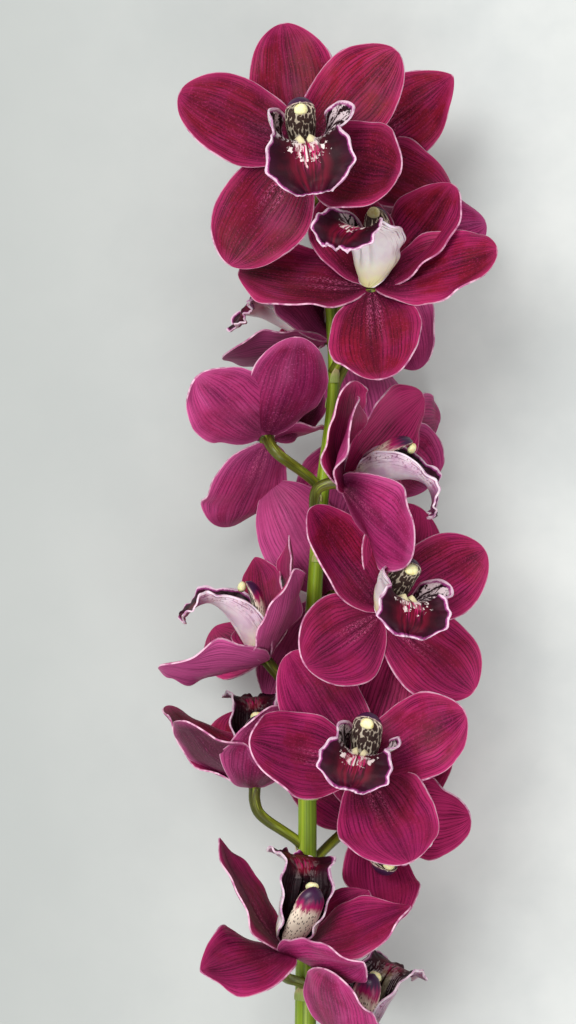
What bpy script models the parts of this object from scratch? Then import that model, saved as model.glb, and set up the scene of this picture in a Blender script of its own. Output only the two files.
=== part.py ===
"""Cymbidium orchid stem: one cut flower spike lying on its back petals.

Units are metres and +Z is up. The stem runs along +Y to its tip, and the
flowers that show best look up. Sizes below are written in millimetres.
A flower's own frame has +Z where it looks and +Y at its upper sepal.
"""

import math
from typing import NamedTuple

import bmesh
import bpy
from mathutils import Matrix, Vector

MM = 0.001
GAP = 0.35
BLADE_THICKNESS = 0.9
LIP_THICKNESS = 1.0

# Grid of a tepal and of a lip, in faces across and along
TEPAL_ACROSS = 2
TEPAL_ALONG = 5
LIP_ACROSS = 6

# The small solid at a flower's centre, which the five tepals grow from
CORE_RADIUS = 3.8
CORE_BACK = -2.2
CORE_FRONT = 1.5
ROOT_RADIUS = 2.4

# How far a tepal's edges fall short of its midline, as a share of its length
TIP_ROUNDING = 0.05

# A tepal's outline: the stretch of a sine wave it follows, fuller at the tip
OUTLINE_START = 0.035
OUTLINE_STRETCH = 0.945
OUTLINE_FULLNESS = 0.5

# Rows of a tepal lie closer together at its tip
TIP_CROWDING = 1.3

COLUMN_LENGTH = 37.0
COLUMN_FOOT = 4.0
COLUMN_FOOT_UP = 0.9
COLUMN_BENDS = 4
COLUMN_RISE_START = 46.0
COLUMN_RISE_END = 8.0
COLUMN_RADII = (2.3, 3.4, 4.9, 4.9, 4.5, 3.4)
CAP_RADIUS = 3.5
CAP_AHEAD = 0.8
CAP_DROP = 1.2

STALK_RADIUS = 2.35
OVARY_RADIUS = 2.9
OVARY_NECK = 5.0

# A stalk's curve: how far each end's pull reaches, and how it leans to the tip
STALK_STEPS = 5
STALK_LEAVES = 0.4
STALK_ARRIVES = 0.3
STALK_LEAN = 0.25

BRACT_LENGTH = 9.0
BRACT_FLARE = 1.1
BRACT_TIP = 0.6
BRACT_OUT = 2.0

# Clasping sheaths on the bare stem
SHEATHS = (-196.0, -252.0)
SHEATH_LENGTH = 26.0
SHEATH_THICKNESS = 0.5
SHEATH_FLARE = 1.0

REST_DEPTH = 20.0


class Tepal(NamedTuple):
    """One sepal or petal: degrees from the upper sepal, and millimetres."""

    azimuth: float
    rise: float
    curl: float
    length: float = 60.0
    width: float = 40.0
    cup: float = 28.0
    twist: float = 0.0
    root: float = 0.0


TEPALS = {
    "dorsal": Tepal(0, 8, 26, length=60, width=43, cup=34, root=-0.9),
    "petal_right": Tepal(62, 16, 10, length=61, width=41, cup=24, root=0.4),
    "petal_left": Tepal(-62, 16, 10, length=61, width=41, cup=24, root=0.4),
    "sepal_right": Tepal(130, 8, 12, length=61, width=45, cup=22, root=-0.9),
    "sepal_left": Tepal(-130, 8, 12, length=61, width=45, cup=22, root=-0.9),
}


class LipStation(NamedTuple):
    """A cross-section of the lip: along its midline, then how it is bent there."""

    along: float
    half_width: float
    wrap: float
    pitch: float
    lead: float


LIP = (
    LipStation(0, 4, 40, 0, 0),
    LipStation(9, 22, 116, -6, 0),
    LipStation(18, 26, 118, -8, 0),
    LipStation(27, 24, 92, 0, 1),
    LipStation(34, 17, 52, 24, 1),
    LipStation(41, 20, 26, 66, 0),
    LipStation(51, 19, 12, 94, 0),
    LipStation(61, 8, 0, 108, 0),
)
LIP_FOOT = -3.6

# The lip's middle lobe starts here and is as long as its flower makes it
LOBE_START = 34.0


class StemPoint(NamedTuple):
    x: float
    y: float
    z: float
    radius: float


STEM = (
    StemPoint(-1.7, 243, 66, 1.9),
    StemPoint(2.9, 203, 63, 2.3),
    StemPoint(3.9, 167, 62, 2.6),
    StemPoint(-1.1, 121, 62, 3.4),
    StemPoint(-4.7, 75, 62, 3.7),
    StemPoint(-8.1, 11, 62, 4.2),
    StemPoint(-8.3, -50, 62, 4.5),
    StemPoint(-9.1, -123, 61, 5.1),
    StemPoint(-9.3, -200, 44, 5.4),
    StemPoint(-8.9, -262, 20, 5.7),
    StemPoint(-8.5, -306, 6.2, 5.9),
    StemPoint(-8.3, -341.6, 5.5, 5.9),
)
STEM_STEPS = 2


class Bloom(NamedTuple):
    """A flower: its centre, the way it looks, its upper sepal and its node."""

    name: str
    centre: tuple
    looks: tuple
    upper: tuple
    leaves_stem: float
    changes: dict = {}
    lip_width: float = 1.0
    lobe_length: float = 0.72


BLOOMS = (
    Bloom(
        "bloom_01", (-10.7, 279, 98), (0.02, 0.04, 1), (-0.15, 1, 0), 238,
        {
            "dorsal": dict(rise=-16, curl=24),
            "petal_right": dict(azimuth=52, rise=2),
            "petal_left": dict(azimuth=-58, rise=4),
            "sepal_right": dict(azimuth=122, rise=34, curl=20),
            "sepal_left": dict(azimuth=-138, rise=-8),
        },
        1.0,
        1.0,
    ),
    Bloom(
        "bloom_02", (12.3, 287, 44), (-0.15, 0.35, 0.92), (0, -1, 0.1), 230,
        {
            "dorsal": dict(azimuth=60, rise=-4, curl=0, length=50),
            "petal_right": dict(azimuth=104, rise=-6, curl=0),
            "petal_left": dict(azimuth=-56, rise=6, curl=0),
            "sepal_right": dict(azimuth=150, rise=0),
            "sepal_left": dict(azimuth=-116, rise=18, twist=-30),
        },
    ),
    Bloom(
        "bloom_03", (21.3, 217, 90), (-0.17, 0.7, 0.69), (0.5, 0.65, -0.57), 178,
        {
            "dorsal": dict(azimuth=24, rise=14, curl=30),
            "petal_right": dict(azimuth=66, rise=10, twist=-18),
            "petal_left": dict(azimuth=-46, rise=30, curl=0, length=50),
            "sepal_right": dict(azimuth=148, rise=-8),
            "sepal_left": dict(azimuth=-112, rise=6),
        },
        0.84,
        0.8,
    ),
    Bloom(
        "bloom_04", (21.3, 236, 50), (0.65, 0.1, -0.75), (0.1, 1, 0.2), 190,
        {
            "dorsal": dict(azimuth=-6, rise=40, curl=26),
            "petal_right": dict(azimuth=60, rise=12, curl=30),
            "petal_left": dict(azimuth=-60, rise=34, curl=40),
            "sepal_right": dict(azimuth=138, rise=20, curl=-8),
            "sepal_left": dict(azimuth=-162, rise=18),
        },
        0.7,
    ),
    Bloom(
        "bloom_05", (1.3, 196, 41.4), (-0.86, 0.5, 0), (0.3, 0.45, -0.84), 166,
        {
            "dorsal": dict(rise=34, curl=40),
            "petal_right": dict(azimuth=60, rise=26, curl=20, length=56),
            "petal_left": dict(azimuth=-62, rise=20, curl=20, length=50),
            "sepal_right": dict(azimuth=102, rise=50, length=54),
            "sepal_left": dict(azimuth=-140, rise=44, length=52),
        },
        0.9,
    ),
    Bloom(
        "bloom_06", (-27.7, 146, 78), (-0.3, 0.55, -0.78), (0.26, 0.83, 0.49), 121,
        {
            "dorsal": dict(azimuth=4, rise=-32, curl=48),
            "petal_right": dict(azimuth=52, rise=-32, curl=40),
            "petal_left": dict(azimuth=-50, rise=22, curl=30, length=46),
            "sepal_right": dict(azimuth=182, rise=8, curl=16, twist=26),
            "sepal_left": dict(azimuth=-104, rise=36, curl=6, twist=-56, length=50, width=30),
        },
    ),
    Bloom(
        "bloom_07", (8.3, 125, 84), (0.97, 0.1, 0.1), (-0.1, 0.95, 0.2), 92,
        {
            "dorsal": dict(azimuth=-28, rise=-6, curl=36, twist=34, length=58),
            "petal_right": dict(azimuth=50, rise=36, curl=10, twist=20),
            "petal_left": dict(azimuth=-46, rise=2, curl=20, twist=20, length=59),
            "sepal_right": dict(azimuth=121, rise=31, curl=4, twist=-9, length=50),
            "sepal_left": dict(azimuth=-120, rise=30, curl=4, twist=24),
        },
        0.86,
    ),
    Bloom(
        "bloom_08", (23.3, 146, 50.5), (-0.15, 0.2, -0.93), (0, 1, 0.2), 138,
        {
            "dorsal": dict(azimuth=2, rise=34, curl=56),
            "petal_right": dict(azimuth=146, rise=12, curl=12, length=52),
            "petal_left": dict(azimuth=-92, rise=38, curl=20, twist=-16),
            "sepal_right": dict(azimuth=164, rise=4, curl=24, length=48),
            "sepal_left": dict(azimuth=-132, rise=30, curl=4, twist=-8, length=50),
        },
        0.85,
    ),
    Bloom(
        "bloom_09", (27.3, 64, 88), (0.3, 0.25, 0.92), (0.12, 1, -0.3), 46,
        {
            "dorsal": dict(azimuth=12, rise=-14, curl=20, length=56),
            "petal_right": dict(azimuth=50, rise=4, length=56),
            "petal_left": dict(azimuth=-47, rise=0, curl=14, twist=-24, length=58),
            "sepal_right": dict(azimuth=126, rise=8, curl=4, length=54),
            "sepal_left": dict(azimuth=-132, rise=14, length=56),
        },
        0.88,
    ),
    Bloom(
        "bloom_10", (-28.7, 41, 68), (-0.62, 0.78, 0.1), (0.78, 0.62, 0), 16,
        {
            "dorsal": dict(azimuth=2, rise=26, curl=34),
            "petal_right": dict(azimuth=44, rise=20, curl=20, length=58),
            "petal_left": dict(azimuth=-52, rise=32, curl=24, length=54),
            "sepal_right": dict(azimuth=136, rise=28),
            "sepal_left": dict(azimuth=-102, rise=12, curl=16),
        },
        0.8,
        0.68,
    ),
    Bloom(
        "bloom_11", (3.3, 70, 46), (-0.2, 0.05, -0.97), (-0.1, 1, 0), 38,
        {
            "dorsal": dict(azimuth=22, rise=2, curl=14, twist=10),
            "petal_right": dict(azimuth=150, rise=14, curl=4, twist=-20),
            "petal_left": dict(azimuth=-78, rise=18, curl=14, length=52),
            "sepal_right": dict(azimuth=194, rise=0),
            "sepal_left": dict(azimuth=-120, rise=-10),
        },
        0.85,
        1.0,
    ),
    Bloom(
        "bloom_12", (16.3, -8, 98), (-0.04, 0.33, 0.93), (0.26, 0.93, -0.3), -22,
        {
            "dorsal": dict(azimuth=2, rise=-12, curl=24, length=58),
            "petal_right": dict(azimuth=52, rise=16, length=54),
            "petal_left": dict(azimuth=-49, rise=19, curl=4, twist=-12),
            "sepal_right": dict(azimuth=142, rise=24, width=47),
            "sepal_left": dict(azimuth=-100, rise=28, curl=20, width=42),
        },
        0.85,
    ),
    Bloom(
        "bloom_13", (-33.7, -20, 62), (0, 0.97, 0), (0.1, 0.15, 0.98), -52,
        {
            "dorsal": dict(azimuth=-8, rise=20, curl=54, twist=-18),
            "petal_right": dict(azimuth=44, rise=24, curl=20),
            "petal_left": dict(azimuth=-28, rise=43, curl=14, twist=8, length=52, width=36),
            "sepal_right": dict(azimuth=128, rise=32, curl=10),
            "sepal_left": dict(azimuth=-182, rise=24, curl=16),
        },
        0.72,
    ),
    Bloom(
        "bloom_14", (25.3, -42, 34), (0.25, -0.1, 0.96), (-0.25, -0.97, 0), -60,
        {
            "dorsal": dict(azimuth=-4, rise=34, curl=40, width=38),
            "petal_right": dict(azimuth=112, rise=-14, curl=6, length=50, width=36),
            "petal_left": dict(azimuth=-122, rise=34, curl=26, length=52),
            "sepal_right": dict(azimuth=156, rise=-2, curl=6),
            "sepal_left": dict(azimuth=-170, rise=8),
        },
        0.8,
    ),
    Bloom(
        "bloom_15", (-17.7, -94, 90), (0.22, 0.97, 0.05), (0.28, -0.2, 0.93), -118,
        {
            "dorsal": dict(azimuth=-14, rise=-6, curl=40, twist=28),
            "petal_right": dict(azimuth=56, rise=-12, twist=30),
            "petal_left": dict(azimuth=-56, rise=28, curl=14, twist=-35),
            "sepal_right": dict(azimuth=108, rise=38, curl=20),
            "sepal_left": dict(azimuth=-100, rise=42, twist=-20, length=48),
        },
        0.82,
        0.8,
    ),
    Bloom(
        "bloom_16", (12.3, -140, 82), (0.45, 0.9, -0.1), (-0.4, 0.1, 0.9), -152,
        {
            "dorsal": dict(azimuth=6, rise=16, length=62),
            "petal_right": dict(azimuth=154, rise=4),
            "petal_left": dict(azimuth=-76, rise=10),
            "sepal_right": dict(azimuth=-164, rise=4),
            "sepal_left": dict(azimuth=-120),
        },
        0.78,
        0.8,
    ),
)


def clear_scene():
    for obj in list(bpy.data.objects):
        bpy.data.objects.remove(obj, do_unlink=True)


def make_material(name, colour, roughness):
    material = bpy.data.materials.new(name)
    material.use_nodes = True
    shader = material.node_tree.nodes["Principled BSDF"]
    shader.inputs["Base Color"].default_value = (*colour, 1)
    shader.inputs["Roughness"].default_value = roughness
    return material


def make_object(name, mesh, collection, material=None):
    obj = bpy.data.objects.new(name, mesh)
    collection.objects.link(obj)
    if material:
        mesh.materials.append(material)
    return obj


def bloom_matrix(bloom):
    """The matrix from a flower's frame to the world."""
    looks = Vector(bloom.looks).normalized()
    right = Vector(bloom.upper).cross(looks).normalized()
    upper = looks.cross(right)
    turn = Matrix((right, upper, looks)).transposed().to_4x4()
    return Matrix.Translation(Vector(bloom.centre) * MM) @ turn


def outline(along):
    """Share of its full half width that a tepal has at a share of its length."""
    inside = OUTLINE_START + OUTLINE_STRETCH * along
    return math.sin(math.pi * inside) ** (1 - OUTLINE_FULLNESS * along)


def tepal_point(tepal, across, along):
    """Middle surface of a tepal, in millimetres in its flower's frame."""
    curl = math.radians(tepal.curl) or 0.001
    rise = math.radians(tepal.rise)
    along *= 1 - TIP_ROUNDING * across**2
    slope = rise + curl * along
    out = ROOT_RADIUS + tepal.length / curl * (math.sin(slope) - math.sin(rise))
    forward = tepal.root + tepal.length / curl * (math.cos(rise) - math.cos(slope))
    azimuth = math.radians(tepal.azimuth)
    radial = Vector((math.sin(azimuth), math.cos(azimuth), 0))
    side = Vector((math.cos(azimuth), -math.sin(azimuth), 0))
    normal = Vector((0, 0, math.cos(slope))) - radial * math.sin(slope)
    twist = math.radians(tepal.twist * (1 - (1 - along) ** 3))
    turned_side = side * math.cos(twist) + normal * math.sin(twist)
    turned_normal = normal * math.cos(twist) - side * math.sin(twist)
    bend = math.radians(tepal.cup) / (tepal.width / 2) or 0.0001
    angle = bend * across * outline(along) * tepal.width / 2
    point = radial * out + Vector((0, 0, forward))
    point += turned_side * math.sin(angle) / bend
    return point + turned_normal * (1 - math.cos(angle)) / bend


def grid_sheet(across, along, place):
    """A grid whose points are placed by their shares across and along."""
    bm = bmesh.new()
    bmesh.ops.create_grid(bm, x_segments=across, y_segments=along, size=1)
    for vert in bm.verts:
        vert.co = place(vert.co.x, (vert.co.y + 1) / 2) * MM
    bmesh.ops.triangulate(bm, faces=bm.faces, quad_method="SHORT_EDGE")
    return bm


def sheet_mesh(name, bm):
    mesh = bpy.data.meshes.new(name)
    bm.to_mesh(mesh)
    bm.free()
    return mesh


def thicken(obj, thickness):
    solidify = obj.modifiers.new("Thickness", "SOLIDIFY")
    solidify.thickness = thickness * MM
    solidify.offset = 0


def make_tepal(tepal, name, collection):
    def place(across, along):
        return tepal_point(tepal, across, 1 - (1 - along) ** TIP_CROWDING)

    mesh = sheet_mesh(name, grid_sheet(TEPAL_ACROSS, TEPAL_ALONG, place))
    obj = make_object(name, mesh, collection)
    thicken(obj, BLADE_THICKNESS)
    return obj


def evaluated_mesh(obj):
    """The mesh of an object with its modifiers applied."""
    bpy.context.view_layer.update()
    graph = bpy.context.evaluated_depsgraph_get()
    return bpy.data.meshes.new_from_object(obj.evaluated_get(graph))


def weld(mesh):
    bm = bmesh.new()
    bm.from_mesh(mesh)
    bmesh.ops.remove_doubles(bm, verts=bm.verts, dist=0.00001)
    bmesh.ops.recalc_face_normals(bm, faces=bm.faces)
    bm.to_mesh(mesh)
    bm.free()


def fuse(body, pieces):
    """Joins a collection's objects to the body and removes them."""
    union = body.modifiers.new("Grown together", "BOOLEAN")
    union.operation = "UNION"
    union.solver = "MANIFOLD"
    union.operand_type = "COLLECTION"
    union.collection = pieces
    material = body.data.materials[0]
    mesh = evaluated_mesh(body)
    body.modifiers.clear()
    body.data = mesh
    mesh.materials.clear()
    mesh.materials.append(material)
    for obj in list(pieces.objects):
        bpy.data.objects.remove(obj, do_unlink=True)
    bpy.data.collections.remove(pieces)


def new_pieces(name):
    pieces = bpy.data.collections.new(name)
    bpy.context.scene.collection.children.link(pieces)
    return pieces


def make_tepals(bloom, collection, material):
    pieces = new_pieces(bloom.name + "_pieces")
    matrix = bloom_matrix(bloom)
    for key, usual in TEPALS.items():
        tepal = usual._replace(**bloom.changes.get(key, {}))
        blade = make_tepal(tepal, f"{bloom.name}_{key}", pieces)
        blade.matrix_world = matrix
    bm = bmesh.new()
    depth = CORE_FRONT - CORE_BACK
    middle = Matrix.Translation((0, 0, (CORE_FRONT + CORE_BACK) / 2 * MM))
    bmesh.ops.create_cone(
        bm,
        segments=6,
        radius1=CORE_RADIUS * MM,
        radius2=CORE_RADIUS * MM,
        depth=depth * MM,
        cap_ends=True,
        matrix=middle,
    )
    core = make_object(
        bloom.name + "_tepals", sheet_mesh("core", bm), collection, material
    )
    core.matrix_world = matrix
    fuse(core, pieces)
    return core


def lip_spine(lobe_length):
    """Midline of the lip: each station's place and its pitch in radians."""
    y, z, spine = LIP_FOOT, CORE_FRONT + GAP + LIP_THICKNESS / 2, []
    for before, station in zip((LIP[0], *LIP), LIP):
        step = station.along - before.along
        if station.along > LOBE_START:
            step *= lobe_length
        pitch = math.radians((before.pitch + station.pitch) / 2)
        y -= step * math.sin(pitch)
        z += step * math.cos(pitch)
        spine.append((Vector((0, y, z)), math.radians(station.pitch)))
    return spine


def make_lip(bloom, collection, material):
    spine = lip_spine(bloom.lobe_length)

    def place(across, along):
        index = round(along * (len(LIP) - 1))
        station = LIP[index]
        middle, pitch = spine[index]
        wrap = math.radians(station.wrap) or 0.001
        radius = station.half_width * bloom.lip_width / wrap
        angle = wrap * across
        ahead = Vector((0, -math.sin(pitch), math.cos(pitch)))
        above = Vector((0, math.cos(pitch), math.sin(pitch)))
        point = middle + Vector((radius * math.sin(angle), 0, 0))
        point += above * radius * (1 - math.cos(angle))
        return point + ahead * station.lead * across**2

    mesh = sheet_mesh(bloom.name + "_lip", grid_sheet(LIP_ACROSS, len(LIP) - 1, place))
    lip = make_object(bloom.name + "_lip", mesh, collection, material)
    lip.matrix_world = bloom_matrix(bloom)
    thicken(lip, LIP_THICKNESS)
    return lip


def tube_mesh(points, radii, bevel_resolution):
    """A closed tube along points, each with its own radius, in millimetres."""
    curve = bpy.data.curves.new("tube", "CURVE")
    curve.dimensions = "3D"
    curve.bevel_depth = MM
    curve.bevel_resolution = bevel_resolution
    curve.use_fill_caps = True
    spline = curve.splines.new("POLY")
    spline.points.add(len(points) - 1)
    for point, place, radius in zip(spline.points, points, radii):
        point.co = (*(place * MM), 1)
        point.radius = radius
    guide = bpy.data.objects.new("tube", curve)
    bpy.context.scene.collection.objects.link(guide)
    mesh = evaluated_mesh(guide)
    bpy.data.objects.remove(guide, do_unlink=True)
    weld(mesh)
    return mesh


def column_points():
    """Midline of the column, which arches forward over the lip."""
    step = (COLUMN_LENGTH - COLUMN_FOOT) / COLUMN_BENDS
    point = Vector((0, COLUMN_FOOT_UP, CORE_FRONT + GAP))
    points = [point]
    point = point + Vector((0, 0, COLUMN_FOOT))
    points.append(point)
    for index in range(COLUMN_BENDS):
        share = (index + 0.5) / COLUMN_BENDS
        rise = COLUMN_RISE_START + (COLUMN_RISE_END - COLUMN_RISE_START) * share
        rise = math.radians(rise)
        point = point + Vector((0, math.sin(rise), math.cos(rise))) * step
        points.append(point)
    return points


def make_column(bloom, collection, material):
    points = column_points()
    mesh = tube_mesh(points, COLUMN_RADII, 1)
    column = make_object(bloom.name + "_column", mesh, collection, material)
    column.matrix_world = bloom_matrix(bloom)
    pieces = new_pieces(bloom.name + "_cap_piece")
    bm = bmesh.new()
    ahead = (points[-1] - points[-2]).normalized()
    place = points[-1] + ahead * CAP_AHEAD - Vector((0, CAP_DROP, 0))
    bmesh.ops.create_uvsphere(
        bm,
        u_segments=6,
        v_segments=4,
        radius=CAP_RADIUS * MM,
        matrix=Matrix.Translation(place * MM),
    )
    cap = make_object(bloom.name + "_cap", sheet_mesh("cap", bm), pieces)
    cap.matrix_world = column.matrix_world
    fuse(column, pieces)
    return column


def stem_at(y):
    """Place and radius of the stem's middle at a distance along it."""
    for upper, lower in zip(STEM, STEM[1:]):
        if y >= lower.y:
            break
    share = (y - lower.y) / (upper.y - lower.y)
    place = Vector(lower[:3]).lerp(Vector(upper[:3]), share)
    return place, lower.radius + (upper.radius - lower.radius) * share


def smooth_between(before, start, end, after, share):
    """A point on the smooth curve that passes through four knots."""
    a = 2 * start
    b = (end - before) * share
    c = (2 * before - 5 * start + 4 * end - after) * share**2
    d = (3 * start - 3 * end + after - before) * share**3
    return (a + b + c + d) / 2


def stem_route():
    """Points and radii of the stem, smoothed between its knots."""
    knots = [Vector(point) for point in STEM]
    knots = [knots[0], *knots, knots[-1]]
    route = []
    for index in range(len(STEM) - 1):
        for step in range(STEM_STEPS):
            route.append(smooth_between(*knots[index : index + 4], step / STEM_STEPS))
    route.append(Vector(STEM[-1]))
    return [point.to_3d() for point in route], [point.w for point in route]


def stalk_route(bloom):
    """A flower's stalk, from inside the stem to behind the flower's centre."""
    root, _ = stem_at(bloom.leaves_stem)
    matrix = bloom_matrix(bloom)
    looks = matrix.to_3x3() @ Vector((0, 0, 1))
    end = Vector(bloom.centre) + looks * (CORE_BACK - GAP)
    neck = end - looks * OVARY_NECK
    reach = (neck - root).length
    outward = (neck - root).normalized()
    leave = root + (outward + Vector((0, STALK_LEAN, 0))).normalized() * reach * STALK_LEAVES
    arrive = neck - looks * reach * STALK_ARRIVES
    points = []
    for index in range(STALK_STEPS + 1):
        share = index / STALK_STEPS
        rest = 1 - share
        point = root * rest**3 + leave * 3 * rest**2 * share
        point += arrive * 3 * rest * share**2 + neck * share**3
        points.append(point)
    return [*points, end]


def make_bract(bloom, points, collection):
    """The small dry scale under a stalk, where it leaves the stem."""
    bm = bmesh.new()
    along = (points[2] - points[0]).normalized()
    turn = along.to_track_quat("Z", "Y").to_matrix().to_4x4()
    place = points[0] + along * (stem_at(bloom.leaves_stem)[1] + BRACT_OUT)
    bmesh.ops.create_cone(
        bm,
        segments=6,
        radius1=(STALK_RADIUS + BRACT_FLARE) * MM,
        radius2=BRACT_TIP * MM,
        depth=BRACT_LENGTH * MM,
        cap_ends=True,
        matrix=Matrix.Translation(place * MM) @ turn,
    )
    return make_object(bloom.name + "_bract", sheet_mesh("bract", bm), collection)


def make_sheath(y, collection):
    """A pale sheath that clasps the bare stem and points towards its tip."""
    bm = bmesh.new()
    place, radius = stem_at(y)
    along = (stem_at(y + 1)[0] - place).normalized()
    turn = along.to_track_quat("Z", "Y").to_matrix().to_4x4()
    bmesh.ops.create_cone(
        bm,
        segments=8,
        radius1=(radius + SHEATH_THICKNESS) * MM,
        radius2=(radius + SHEATH_THICKNESS + SHEATH_FLARE) * MM,
        depth=SHEATH_LENGTH * MM,
        cap_ends=True,
        matrix=Matrix.Translation(place * MM) @ turn,
    )
    return make_object("sheath", sheet_mesh("sheath", bm), collection)


def make_spike(collection, material):
    points, radii = stem_route()
    mesh = tube_mesh(points, radii, 2)
    spike = make_object("spike", mesh, collection, material)
    pieces = new_pieces("spike_pieces")
    for bloom in BLOOMS:
        route = stalk_route(bloom)
        radii = [
            STALK_RADIUS + (OVARY_RADIUS - STALK_RADIUS) * index / (len(route) - 1)
            for index in range(len(route))
        ]
        stalk = tube_mesh(route, radii, 1)
        make_object(bloom.name + "_stalk", stalk, pieces)
        make_bract(bloom, route, pieces)
    for y in SHEATHS:
        make_sheath(y, pieces)
    fuse(spike, pieces)
    return spike


def rest_on_surface(nodes, cutters):
    """Trims what dips below the surface, so that it rests on flat spots."""
    bm = bmesh.new()
    slab = Matrix.Translation((0, 0, -REST_DEPTH / 2 * MM))
    bmesh.ops.create_cube(bm, size=1, matrix=slab @ Matrix.Diagonal((1, 1, REST_DEPTH * MM, 1)))
    cutter = make_object("surface_cutter", sheet_mesh("surface_cutter", bm), cutters)
    cutter.hide_render = True
    cutter.display_type = "WIRE"
    for node in nodes:
        heights = [(node.matrix_world @ v.co).z for v in node.data.vertices]
        if min(heights) < LIP_THICKNESS * MM:
            trim = node.modifiers.new("Flat spot", "BOOLEAN")
            trim.operation = "DIFFERENCE"
            trim.object = cutter


def main():
    clear_scene()
    parts = new_pieces("cymbidium_stem")
    cutters = new_pieces("cutters")
    burgundy = make_material("tepal burgundy", (0.19, 0.006, 0.035), 0.55)
    maroon = make_material("lip dark maroon", (0.06, 0.004, 0.012), 0.6)
    cream = make_material("column cream", (0.62, 0.47, 0.3), 0.45)
    green = make_material("stem green", (0.17, 0.25, 0.03), 0.45)
    nodes = [make_spike(parts, green)]
    for bloom in BLOOMS:
        nodes.append(make_tepals(bloom, parts, burgundy))
        nodes.append(make_lip(bloom, parts, maroon))
        nodes.append(make_column(bloom, parts, cream))
    rest_on_surface(nodes, cutters)


main()
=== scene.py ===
"""Cymbidium orchid stem: the looks of one cut flower spike that lies on its petals.

Everything is in the part's frame: metres, +Z up, +Y towards the stem's tip.
Sizes are written in millimetres. A flower's own frame has +Z where the flower
looks and +Y at its upper sepal.
"""

import math
from typing import NamedTuple

import bmesh
import bpy
from mathutils import Matrix, Vector


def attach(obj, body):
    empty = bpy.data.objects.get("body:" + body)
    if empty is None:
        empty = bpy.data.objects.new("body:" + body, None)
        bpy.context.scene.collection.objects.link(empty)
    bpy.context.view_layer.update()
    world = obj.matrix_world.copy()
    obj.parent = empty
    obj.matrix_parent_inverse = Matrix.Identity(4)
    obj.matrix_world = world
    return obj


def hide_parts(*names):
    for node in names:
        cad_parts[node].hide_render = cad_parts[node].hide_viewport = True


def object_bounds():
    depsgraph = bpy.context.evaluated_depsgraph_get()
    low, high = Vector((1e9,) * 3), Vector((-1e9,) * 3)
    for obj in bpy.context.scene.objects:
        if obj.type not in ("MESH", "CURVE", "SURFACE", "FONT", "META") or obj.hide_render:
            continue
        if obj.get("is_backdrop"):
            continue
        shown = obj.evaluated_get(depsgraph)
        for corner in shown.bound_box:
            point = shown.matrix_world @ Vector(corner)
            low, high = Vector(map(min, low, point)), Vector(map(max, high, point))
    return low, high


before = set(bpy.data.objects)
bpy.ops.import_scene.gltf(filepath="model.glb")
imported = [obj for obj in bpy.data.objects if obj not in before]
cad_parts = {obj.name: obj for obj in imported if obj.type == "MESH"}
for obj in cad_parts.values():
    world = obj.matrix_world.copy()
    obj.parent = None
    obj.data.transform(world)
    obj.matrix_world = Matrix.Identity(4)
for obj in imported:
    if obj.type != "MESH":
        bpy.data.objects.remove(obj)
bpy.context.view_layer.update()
MM = 0.001


# The stem: one juicy green stalk, four millimetres thick at its tip and twelve
# at the cut. It grew in one piece, faintly ribbed along its length, with a cut
# end that shows paler flesh.


class StemPoint(NamedTuple):
    x: float
    y: float
    z: float
    radius: float


STEM = (
    StemPoint(-1.7, 243, 66, 1.9),
    StemPoint(2.9, 203, 63, 2.3),
    StemPoint(3.9, 167, 62, 2.6),
    StemPoint(-1.1, 121, 62, 3.4),
    StemPoint(-4.7, 75, 62, 3.7),
    StemPoint(-8.1, 11, 62, 4.2),
    StemPoint(-8.3, -50, 62, 4.5),
    StemPoint(-9.1, -123, 61, 5.1),
    StemPoint(-9.3, -200, 44, 5.4),
    StemPoint(-8.9, -262, 20, 5.7),
    StemPoint(-8.5, -306, 6.2, 5.9),
    StemPoint(-8.3, -341.6, 5.5, 5.9),
)
STEM_SIDES = 28
STEM_STEPS = 100
STEM_RIBS = 5
RIB_HEIGHT = 0.14
# The share of the tip's radius, and of the stem's length, that its end rounds off
TIP_NARROWS = 0.45
TIP_SHARE = 0.006


def smooth_between(before, start, end, after, share):
    """A point on the smooth curve that passes through four knots."""
    a = 2 * start
    b = (end - before) * share
    c = (2 * before - 5 * start + 4 * end - after) * share**2
    d = (3 * start - 3 * end + after - before) * share**3
    return (a + b + c + d) / 2


def along_knots(knots, share):
    """A place on the smooth curve through all the knots, from first to last."""
    place = share * (len(knots) - 1)
    index = min(int(place), len(knots) - 2)
    padded = [knots[0], *knots, knots[-1]]
    return smooth_between(*padded[index : index + 4], place - index)


def heading(knots, share, reach):
    """The way the curve through the knots runs at a share of it."""
    ahead = along_knots(knots, min(share + reach, 1))
    behind = along_knots(knots, max(share - reach, 0))
    return (ahead - behind).to_3d().normalized()


def grow(bm, sides, steps, place):
    """Draws a circle out ring by ring, and closes both its ends."""
    turn = bm.verts.layers.float.get("turn") or bm.verts.layers.float.new("turn")
    run = bm.verts.layers.float.get("run") or bm.verts.layers.float.new("run")
    ring = bmesh.ops.create_circle(bm, segments=sides, radius=1)["verts"]
    for vert in ring:
        vert[turn] = math.atan2(vert.co.y, vert.co.x) / math.tau
    edges = list({edge for vert in ring for edge in vert.link_edges})
    first = list(edges)
    for step in range(steps + 1):
        if step:
            made = bmesh.ops.extrude_edge_only(bm, edges=edges)["geom"]
            ring = [item for item in made if isinstance(item, bmesh.types.BMVert)]
            fresh = set(ring)
            edges = [
                item
                for item in made
                if isinstance(item, bmesh.types.BMEdge) and fresh.issuperset(item.verts)
            ]
        for vert in ring:
            vert[run] = step / steps
            vert.co = place(vert[turn] * math.tau, step / steps) * MM
    for rim in (first, edges):
        bmesh.ops.edgeloop_fill(bm, edges=rim)


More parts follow.
